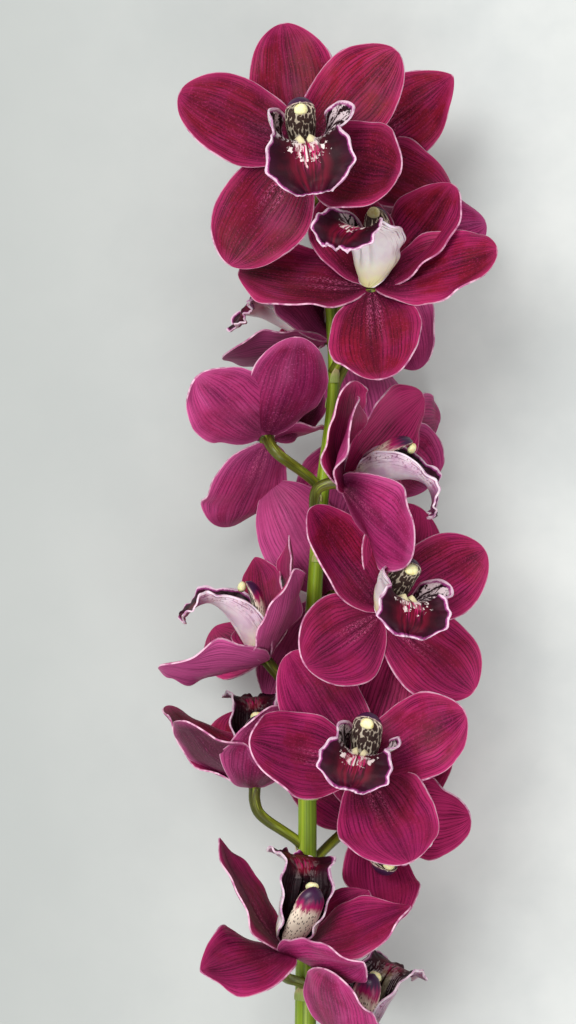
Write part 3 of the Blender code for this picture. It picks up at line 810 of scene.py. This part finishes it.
def lip_point(spine, across, along, size, opens, phase):
    """Middle surface of a lip, in millimetres in its flower's frame."""
    middle = along_knots(spine, along)
    half_width, wrap, pitch, lead = along_knots(LIP_SHAPE, along)
    wrap = math.radians(max(wrap, 1))
    pitch = math.radians(pitch)
    ragged = 1 + 0.03 * math.sin(phase + along * 63) * smooth_step(0.5, 0.6, along)
    radius = half_width * size * ragged / wrap
    radius *= 1 + LOBE_LEAN * across * (1 - smooth_step(0.5, 0.65, along))
    angle = half_width * size * ragged / radius * across
    ahead = Vector((0, -math.sin(pitch), math.cos(pitch)))
    above = Vector((0, math.cos(pitch), math.sin(pitch)))
    inward = above * math.cos(angle) - Vector((math.sin(angle), 0, 0))
    point = middle + Vector((radius * math.sin(angle), 0, 0))
    point += above * radius * (1 - math.cos(angle)) + ahead * lead * across**2
    lobe = smooth_step(0.55, 0.72, along)
    margin = max(abs(across) ** 3, smooth_step(0.82, 1, along))
    frill = math.sin(phase + along * 34 + abs(across) * 2) + 0.3 * math.sin(phase + along * 88)
    ruffle = RUFFLE * lobe * margin * frill
    ruffle += RUFFLE * smooth_step(0.85, 1, along) * math.sin(phase + across * 7)
    ruffle += 0.4 * RUFFLE * smooth_step(0.88, 1, along) * math.sin(phase + across * 19)
    wave = 0.8 * (1 - lobe) * abs(across) ** 4 * math.sin(phase + along * 40)
    corner = 3.2 * abs(across) ** 5 * math.exp(-(((along - 0.66) / 0.07) ** 2))
    ridge = RIDGE_HEIGHT * math.exp(-(((abs(across) - RIDGE_PLACE) / 0.07) ** 2))
    ridge *= smooth_step(0.12, 0.35, along) * (1 - smooth_step(0.5, 0.58, along))
    flare = opens * (0.6 + 0.5 * across) * abs(across) ** 1.5
    flare *= smooth_step(0.12, 0.45, along) * (1 - smooth_step(0.48, 0.62, along))
    return point + inward * (ruffle + wave + ridge + corner - flare)


def lip_inside_skin():
    """Velvety dark maroon with white branching streaks, cream ridges and a pale margin."""
    m = shaded("velvety maroon lip inside")
    blade = add(m, "UVMap", uv_map="blade")
    share_across = add(m, "SeparateXYZ", (blade,), "X")
    along = add(m, "SeparateXYZ", (blade,), "Y")
    place = add(m, "TexCoord", out="Object")
    edge = add(m, "Attribute", out="Fac", attribute_name="edge_mm")
    showy = add(m, "Attribute", out="Fac", attribute_name="showy")
    across = add(m, "MapRange", {"Value": share_across, "To Min": -1, "To Max": 1})
    side = add(m, "Math", (across,), operation="ABSOLUTE")
    cloud = add(m, "TexNoise", {"Vector": place, "Scale": 190, "Detail": 3})
    fray = add(m, "TexNoise", {"Vector": place, "Scale": 380, "Detail": 3, "Roughness": 0.6})
    fray = add(m, "MapRange", {"Value": fray, "From Min": 0.3, "From Max": 0.7, "To Min": -1})

    # Streaks fan out from the lip's foot, and finer ones join them further out
    from_foot = add(m, "Math", (along, 0.1), operation="ADD")
    fan = add(m, "Math", (across, 1.5), operation="MULTIPLY")
    fan = add(m, "Math", (fan, from_foot), operation="DIVIDE")
    fan = add(m, "Math", (fan,), operation="ARCTANGENT")
    fan = add(m, "Math", (fray, 0.02, fan), operation="MULTIPLY_ADD")
    streaks = 0.0
    for count, start, finish in ((9, 0.12, 0.25), (18, 0.6, 0.8)):
        line = mask(m, (lines_apart(m, fan, count), 0.23, 0.14), (side, start, finish))
        streaks = add(m, "Math", (streaks, line), operation="MAXIMUM")
    streaks = mask(
        m,
        streaks,
        (along, 0.62, 0.56),
        (along, 0.1, 0.3),
        (fray, 0.5, 0.1),
        (showy, 0, 1),
    )

    # The white patch in front of the ridges, torn at its border
    before = add(m, "Math", (along, 0.645), operation="SUBTRACT")
    before = add(m, "Math", (before, 8), operation="MULTIPLY")
    beside = add(m, "Math", (side, 2.4), operation="MULTIPLY")
    patch = add(m, "Math", (beside, beside), operation="MULTIPLY")
    patch = add(m, "Math", (before, before, patch), operation="MULTIPLY_ADD")
    patch = add(m, "Math", (fray, 1.5, patch), operation="MULTIPLY_ADD")
    off_middle = mask(m, (side, 0.012, 0.035))
    rays = stretched_noise(m, blade, (24, 9, 1), 3)
    patch = mask(m, (patch, 1.0, 0.85), showy, off_middle, (rays, 0.4, 0.54, 1, 0.1))

    # Magenta flames run from the patch down the middle lobe, over a redder middle
    glow = stretched_noise(m, blade, (12, 4, 1), 4)
    glow = mask(m, (glow, 0.3, 0.7, 0.85), (side, 0.62, 0.1), (along, 0.5, 0.62))
    flame = stretched_noise(m, blade, (34, 5, 1))
    flame = mask(
        m,
        (flame, 0.5, 0.6),
        (side, 0.4, 0.08),
        (along, 0.9, 0.7),
        off_middle,
        (along, 0.6, 0.66),
    )

    # Cream ridges with brown dots
    ridge = distance(m, side, RIDGE_PLACE)
    ridge = mask(m, (ridge, 0.11, 0.06), (along, 0.63, 0.59), (along, 0.25, 0.35))
    dots = add(m, "TexVoronoi", {"Vector": place, "Scale": 520})
    dots = mask(m, (dots, 0.34, 0.24, 0.85), (along, 0.5, 0.42))
    frayed = add(m, "Math", (fray, 0.35, edge), operation="MULTIPLY_ADD")
    skin = paint(
        m,
        "#2a0814",
        ((cloud, 0.4, 0.7, 0.5), "#480a1e"),
        (glow, "#8a1030"),
        ((edge, 7, 2, 0.4), "#380e2a"),
        ((along, 0.6, 0.5), "#1c0810"),
        (streaks, "#e6d2d6"),
        (patch, "#ecdad6"),
        (flame, "#c02264"),
        (mask(m, ridge, (showy, 0.1, 1)), "#efe2b4"),
        (dots, "#34101a"),
        ((frayed, 2.0, 1.1, 0.9), "#a03e80"),
        ((frayed, 1.05, 0.65, 0.9), "#eccadc"),
    )
    pile = add(m, "TexNoise", {"Vector": place, "Scale": 1800, "Detail": 1})
    bump = add(m, "Bump", {"Height": pile, "Strength": 0.25, "Distance": 0.0003})
    return surface(m, skin, 0.5, {"IOR": 1.2, "Normal": bump})


def lip_outside_skin():
    """Waxy white flesh with fine purple lines that thicken towards the margin."""
    m = shaded("white lip outside")
    blade = add(m, "UVMap", uv_map="blade")
    along = add(m, "SeparateXYZ", (blade,), "Y")
    place = add(m, "TexCoord", out="Object")
    edge = add(m, "Attribute", out="Fac", attribute_name="edge_mm")
    lilac = add(m, "Attribute", out="Fac", attribute_name="lilac")
    cloud = add(m, "TexNoise", {"Vector": place, "Scale": 120, "Detail": 3})
    outer = {"Value": edge, "From Min": 1, "From Max": 9, "To Min": 0.85, "To Max": 0}
    outer = add(m, "MapRange", outer)
    lines = stretched_noise(m, blade, (60, 8, 1))
    lines = mask(m, (lines, 0.5, 0.64), outer)
    blush = mask(m, lilac, (cloud, 0.3, 0.6, 1, 0.4))
    flecks = add(m, "TexNoise", {"Vector": place, "Scale": 800})
    flecks = mask(m, (flecks, 0.55, 0.65), lilac, (edge, 8, 1))
    skin = paint(
        m,
        "#f6f2f0",
        ((along, 0.3, 0.02), "#e9e8a4"),
        ((cloud, 0.5, 0.75, 0.3), "#dfc6d4"),
        (blush, "#cfa2c0"),
        (flecks, "#7a1c4c"),
        ((along, 0.58, 0.8, 0.85), "#7e2c5e"),
        (lines, "#782860"),
        ((edge, 1.1, 0.6), "#f2e0ea"),
    )
    pores = add(m, "TexNoise", {"Vector": place, "Scale": 1500, "Detail": 1})
    flesh = {"Specular IOR Level": 0.3, "Subsurface Weight": 0.15, "Subsurface Scale": 0.002}
    flesh["Normal"] = add(m, "Bump", {"Height": pores, "Strength": 0.15, "Distance": 0.0003})
    return surface(m, skin, 0.42, flesh)


lip_inside = lip_inside_skin()
lip_outside = lip_outside_skin()
lip_rim = worn_rim("white lip rim", "#efd6e2", "#c078a8")

for number, bloom in enumerate(BLOOMS):
    matrix = bloom_matrix(bloom)
    spine = lip_spine(bloom.lobe_length)
    flare = LOBE_FLARE.get(bloom.name, 0)
    bm = bmesh.new()
    edge_mm, showy, lilac = (
        bm.verts.layers.float.new(name) for name in ("edge_mm", "showy", "lilac")
    )
    for vert, (across, along) in sheet(bm, LIP_ACROSS, LIP_ALONG).items():
        vert.co = matrix @ lip_point(spine, across, along, bloom.lip_width, flare, number * 2.1)
        vert.co.z = max(vert.co.z, LIP_FLESH * MM)
        half_width = along_knots(LIP_SHAPE, along)[0] * bloom.lip_width
        to_tip = (1 - along) * LOBE_REACH * bloom.lobe_length
        vert[edge_mm] = min((1 - abs(across)) * half_width, to_tip)
        vert[showy] = SHOWY.get(bloom.name, FAINT)
        vert[lilac] = LILAC.get(bloom.name, FAINT)
    bmesh.ops.reverse_faces(bm, faces=bm.faces)
    lip = finished(bloom.name + "_lip_flesh", bm, [lip_inside, lip_outside, lip_rim])
    thicken(lip, LIP_FLESH)
    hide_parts(bloom.name + "_lip")


# The columns: the arched finger in each flower's middle, waxy and solid. It
# is purple above and cream below with dark speckles, and carries a
# loose-fitting pale yellow cap under its hooded tip.

COLUMN_LENGTH = 37.0
COLUMN_FOOT = 4.0
COLUMN_START = Vector((0, 0.9, 1.85))
COLUMN_SIDES = 28
COLUMN_STEPS = 28
# Degrees that the column leans up at its foot, and loses on its way to the tip
COLUMN_LEAN = 46
COLUMN_ARCH = 38


def column_knots():
    """Midline of the column, which arches forward over the lip."""
    count = 4
    step = (COLUMN_LENGTH - COLUMN_FOOT) / count
    points = [COLUMN_START, COLUMN_START + Vector((0, 0, COLUMN_FOOT))]
    for index in range(count):
        rise = math.radians(COLUMN_LEAN - COLUMN_ARCH * (index + 0.5) / count)
        points.append(points[-1] + Vector((0, math.sin(rise), math.cos(rise))) * step)
    return points


COLUMN_KNOTS = column_knots()
# Half width, height above the midline and depth below it, at equal steps
COLUMN_SHAPE = [
    Vector(row)
    for row in (
        (3.0, 2.4, 2.4),
        (4.4, 3.0, 3.0),
        (6.0, 3.6, 3.0),
        (6.9, 4.0, 2.8),
        (7.0, 4.4, 2.2),
        (6.6, 4.8, 1.2),
        (3.8, 3.8, 0.2),
    )
]


def column_point(angle, share):
    """A point of the column's skin, in millimetres in its flower's frame."""
    middle = along_knots(COLUMN_KNOTS, share)
    above = heading(COLUMN_KNOTS, share, 0.01).cross(Vector((1, 0, 0)))
    wide, high, deep = along_knots(COLUMN_SHAPE, share)
    round_tip = math.sqrt(max(0.02, 1 - max(0, (share - 0.86) / 0.14) ** 2))
    lift = math.sin(angle)
    level = lift * high if lift > 0 else lift * deep * (1 - 0.6 * (1 - lift**2))
    across = math.cos(angle) * wide
    return middle + (Vector((across, 0, 0)) + above * level) * round_tip


def column_skin():
    """Waxy flesh: a cream ground, dense dark speckles below and purple above."""
    m = shaded("waxy speckled column")
    skin = add(m, "UVMap", uv_map="skin")
    turn = add(m, "SeparateXYZ", (skin,), "X")
    run = add(m, "SeparateXYZ", (skin,), "Y")
    angle = add(m, "Math", (turn, math.tau), operation="MULTIPLY")
    above = add(m, "Math", (angle,), operation="SINE")
    upper = mask(m, (above, -0.05, 0.25))
    blotch = stretched_noise(m, skin, (22, 5, 1))
    uneven = add(m, "MapRange", {"Value": blotch, "To Min": -0.12, "To Max": 0.12})
    reached = add(m, "Math", (run, uneven), operation="ADD")
    hood = mask(m, upper, (reached, 0.66, 0.8))
    dark_tip = mask(m, upper, (reached, 0.78, 0.9))
    stretch = add(m, "Mapping", {"Vector": skin, "Scale": (34, 12, 1)})
    specks = add(m, "TexVoronoi", {"Vector": stretch, "Scale": 1}, voronoi_dimensions="2D")
    crowd = mask(m, (above, 0.3, -0.5, 0.58, 0.2))
    specks = add(m, "Math", (specks, crowd), operation="SUBTRACT")
    edging = distance(m, above, -0.02)
    edging = mask(m, (edging, 0.14, 0.05, 0.8), (run, 0.7, 0.5))
    ground = paint(
        m,
        "#fff0d8",
        ((run, 0.3, 0.02, 0.8), "#f0eec0"),
        ((specks, 0.03, -0.06, 0.94), "#3a121c"),
        (hood, "#a81c5c"),
        (dark_tip, "#3c1a3c"),
        (edging, "#ecdfbc"),
    )
    return surface(m, ground, 0.35, {"Specular IOR Level": 0.35})


def cap_skin():
    """Waxy pale yellow, a little greener in cloudy patches."""
    m = shaded("waxy yellow anther cap")
    place = add(m, "TexCoord", out="Object")
    cloud = add(m, "TexNoise", {"Vector": place, "Scale": 420})
    ground = paint(m, "#f6f0ba", ((cloud, 0.45, 0.75), "#e2d684"))
    wax = {"Specular IOR Level": 0.35, "Subsurface Weight": 0.2, "Subsurface Scale": 0.002}
    return surface(m, ground, 0.4, wax)


column_flesh = column_skin()
cap_flesh = cap_skin()
CAP_RADIUS = 2.75
CAP_GROOVE = 0.8
CAP_SEAT = Vector((0, -3.0, -0.9))
CAP_TILT = -52

for bloom in BLOOMS:
    matrix = bloom_matrix(bloom) @ Matrix.Scale(1 / MM, 4)
    bm = bmesh.new()
    grow(bm, COLUMN_SIDES, COLUMN_STEPS, column_point)
    wrap_skin(bm)
    bmesh.ops.transform(bm, matrix=matrix, verts=bm.verts)
    column = finished(bloom.name + "_column_flesh", bm, [column_flesh])
    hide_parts(bloom.name + "_column")

    bm = bmesh.new()
    bmesh.ops.create_uvsphere(bm, u_segments=24, v_segments=16, radius=CAP_RADIUS * MM)
    for vert in bm.verts:
        groove = math.exp(-((vert.co.x / (CAP_GROOVE * MM)) ** 2))
        low = max(0, -vert.co.z / (CAP_RADIUS * MM))
        vert.co.x *= 1.12 + 0.25 * low
        vert.co.y *= 0.8 - 0.14 * groove
        if low > 0.5:
            vert.co.z *= 0.9
    seat = Matrix.Translation((COLUMN_KNOTS[-1] + CAP_SEAT) * MM)
    seat @= Matrix.Rotation(math.radians(CAP_TILT), 4, "X")
    bmesh.ops.transform(bm, matrix=matrix @ seat, verts=bm.verts)
    bmesh.ops.recalc_face_normals(bm, faces=bm.faces)
    cap = finished(bloom.name + "_cap", bm, [cap_flesh])
    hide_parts(bloom.name + "_column")


# The stalks: each flower hangs on its own, which bends out of the stem and
# turns olive to purple brown as it swells into the flower's back.

STALK_RADIUS = 2.35
OVARY_RADIUS = 2.9
OVARY_NECK = 5.0
CORE_BACK = -2.55
STALK_STEPS = 5
STALK_SIDES = 18
STALK_RINGS = 26


def stem_at(y):
    """Place and radius of the stem's middle at a distance along it."""
    for upper, lower in zip(STEM, STEM[1:]):
        if y >= lower.y:
            break
    share = (y - lower.y) / (upper.y - lower.y)
    place = Vector(lower[:3]).lerp(Vector(upper[:3]), share)
    return place, lower.radius + (upper.radius - lower.radius) * share


def stalk_knots(bloom):
    """Midline of a flower's stalk, from inside the stem into the flower's back."""
    root, _ = stem_at(bloom.leaves_stem)
    looks = Vector(bloom.looks).normalized()
    end = Vector(bloom.centre) + looks * CORE_BACK
    neck = end - looks * OVARY_NECK
    reach = (neck - root).length
    outward = (neck - root).normalized()
    leave = root + (outward + Vector((0, 0.25, 0))).normalized() * reach * 0.4
    arrive = neck - looks * reach * 0.3
    points = []
    for index in range(STALK_STEPS + 1):
        share = index / STALK_STEPS
        rest = 1 - share
        point = root * rest**3 + leave * 3 * rest**2 * share
        points.append(point + arrive * 3 * rest * share**2 + neck * share**3)
    return [*points, end, end + looks * 2]


stalk_green = green_skin("olive flower stalk", "#8c981e", "#44301a", "#30320c")
bm = bmesh.new()
for bloom in BLOOMS:
    knots = stalk_knots(bloom)

    def on_stalk(angle, share):
        middle = along_knots(knots, share)
        along = heading(knots, share, 0.01)
        side = along.cross(Vector((0.3, 0.2, 1))).normalized()
        up = side.cross(along)
        radius = STALK_RADIUS + (OVARY_RADIUS - STALK_RADIUS) * share
        radius += 0.12 * math.cos(6 * angle) * smooth_step(0.4, 0.8, share)
        radius += 1.2 * smooth_step(0.9, 1, share)
        return middle + (side * math.cos(angle) + up * math.sin(angle)) * radius

    grow(bm, STALK_SIDES, STALK_RINGS, on_stalk)
wrap_skin(bm)
flower_stalks = finished("flower_stalks", bm, [stalk_green])
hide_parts("spike")


# Bracts and sheaths: a small papery scale sits under each stalk, and two long
# ones clasp the bare stem. They dried from pale green to straw at their tips.

BRACT_LENGTH = 8.0
BRACT_WRAP = 62.0
BRACT_FLARE = 1.0
BRACT_BELOW = 5.0
SHEATHS = (-210.0, -266.0)
SHEATH_FACES = Vector((0.4, 0, 1))
SHEATH_LENGTH = 34.0
SHEATH_WRAP = 172.0
SHEATH_FLARE = 1.6
SCALE_THICKNESS = 0.45
SCALE_ACROSS = 20
SCALE_ALONG = 14


def papery_skin():
    """A dry scale: pale green at its foot, straw at its tip, with fine ribs."""
    m = shaded("papery bract")
    blade = add(m, "UVMap", uv_map="blade")
    place = add(m, "TexCoord", out="Object")
    along = add(m, "SeparateXYZ", (blade,), "Y")
    ribs = stretched_noise(m, blade, (30, 2, 1))
    cloud = add(m, "TexNoise", {"Vector": place, "Scale": 260})
    ground = paint(
        m,
        "#9db05a",
        ((along, 0.3, 0.9), "#c9b684"),
        ((cloud, 0.5, 0.75, 0.6), "#a98a58"),
        ((ribs, 0.5, 0.7, 0.6), "#77713c"),
    )
    bump = add(m, "Bump", {"Height": ribs, "Strength": 0.4, "Distance": 0.0005})
    return surface(m, ground, 0.65, {"Normal": bump})


papery = papery_skin()


def clasping_scale(name, foot, outward, length, wrap, flare):
    """A pointed scale that wraps the stem from its foot, open opposite its middle."""
    bm = bmesh.new()
    for vert, (across, along) in sheet(bm, SCALE_ACROSS, SCALE_ALONG).items():
        reach = along * (1 - 0.3 * across**2)
        middle, radius = stem_at(foot + length * reach)
        direction = (stem_at(foot + length)[0] - stem_at(foot)[0]).normalized()
        out = (outward - direction * outward.dot(direction)).normalized()
        side = direction.cross(out)
        narrow = math.sqrt(max(0, 1 - along**2.5))
        angle = math.radians(wrap) * across * narrow
        radius += SCALE_THICKNESS + flare * reach**2
        vert.co = (middle + (out * math.cos(angle) + side * math.sin(angle)) * radius) * MM
        vert.co.z = max(vert.co.z, SCALE_THICKNESS * MM)
    bmesh.ops.remove_doubles(bm, verts=bm.verts, dist=SEAM * MM)
    scale = finished(name, bm, [papery])
    thicken(scale, SCALE_THICKNESS)
    scale.data.materials.clear()
    scale.data.materials.append(papery)
    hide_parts("spike")


for bloom in BLOOMS:
    root, _ = stem_at(bloom.leaves_stem)
    outward = Vector(bloom.centre) - root
    foot = bloom.leaves_stem - BRACT_BELOW
    name = bloom.name + "_bract"
    clasping_scale(name, foot, outward, BRACT_LENGTH, BRACT_WRAP, BRACT_FLARE)
for number, y in enumerate(SHEATHS, 1):
    name = f"sheath_{number}"
    clasping_scale(name, y, SHEATH_FACES, SHEATH_LENGTH, SHEATH_WRAP, SHEATH_FLARE)


# The floor, the light and the camera: a pale plain studio seen from straight
# above, as the photograph sees the spike, in soft light from all round. The
# floor darkens towards its left with painted shade.

floor_paint = shaded("pale backdrop")
place = add(floor_paint, "TexCoord", out="Object")
cloud = add(floor_paint, "TexNoise", {"Vector": place, "Scale": 9, "Detail": 5, "Roughness": 0.6})
# Painted shade: the floor darkens towards its left
beside = add(floor_paint, "SeparateXYZ", (place,), "X")
tint = paint(
    floor_paint,
    "#b5b8b6",
    ((cloud, 0.3, 0.7), "#c2c4c1"),
    ((beside, 0.1, -0.2, 0.85), "#989b98"),
)
matt = {"Specular IOR Level": 0.1, "Emission Color": tint, "Emission Strength": 0.35}
surface(floor_paint, tint, 0.9, matt)
bm = bmesh.new()
bmesh.ops.create_grid(bm, x_segments=1, y_segments=1, size=4)
floor = linked("floor", bm, [floor_paint])
floor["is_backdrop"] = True

# Each light's name, place, size and power
LIGHTS = (
    ("window_light", (-0.6, 0.7, 1.5), 0.8, 22.5),
    ("fill_light", (0.1, -0.8, 1.3), 1.0, 12),
)
for name, place, size, power in LIGHTS:
    lamp = bpy.data.lights.new(name, "AREA")
    lamp.size = size
    lamp.energy = power
    light = bpy.data.objects.new(name, lamp)
    light.location = place
    aim = Vector((0, 0.1, 0.05)) - Vector(place)
    light.rotation_euler = aim.to_track_quat("-Z", "Y").to_euler()
    bpy.context.scene.collection.objects.link(light)

sky = bpy.data.worlds.new("soft sky")
sky.use_nodes = True
sky_light = sky.node_tree.nodes["Background"].inputs
sky_light["Color"].default_value = colour("#f2f4f6")
sky_light["Strength"].default_value = 0.45
bpy.context.scene.world = sky
bpy.context.scene.view_settings.view_transform = "Standard"

camera_data = bpy.data.cameras.new("camera")
camera_data.lens = 85
camera_data.sensor_width = 36
camera = bpy.data.objects.new("camera", camera_data)
camera.location = (-0.0177, 0.111, 1.223)
bpy.context.scene.collection.objects.link(camera)
bpy.context.scene.camera = camera

low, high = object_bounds()
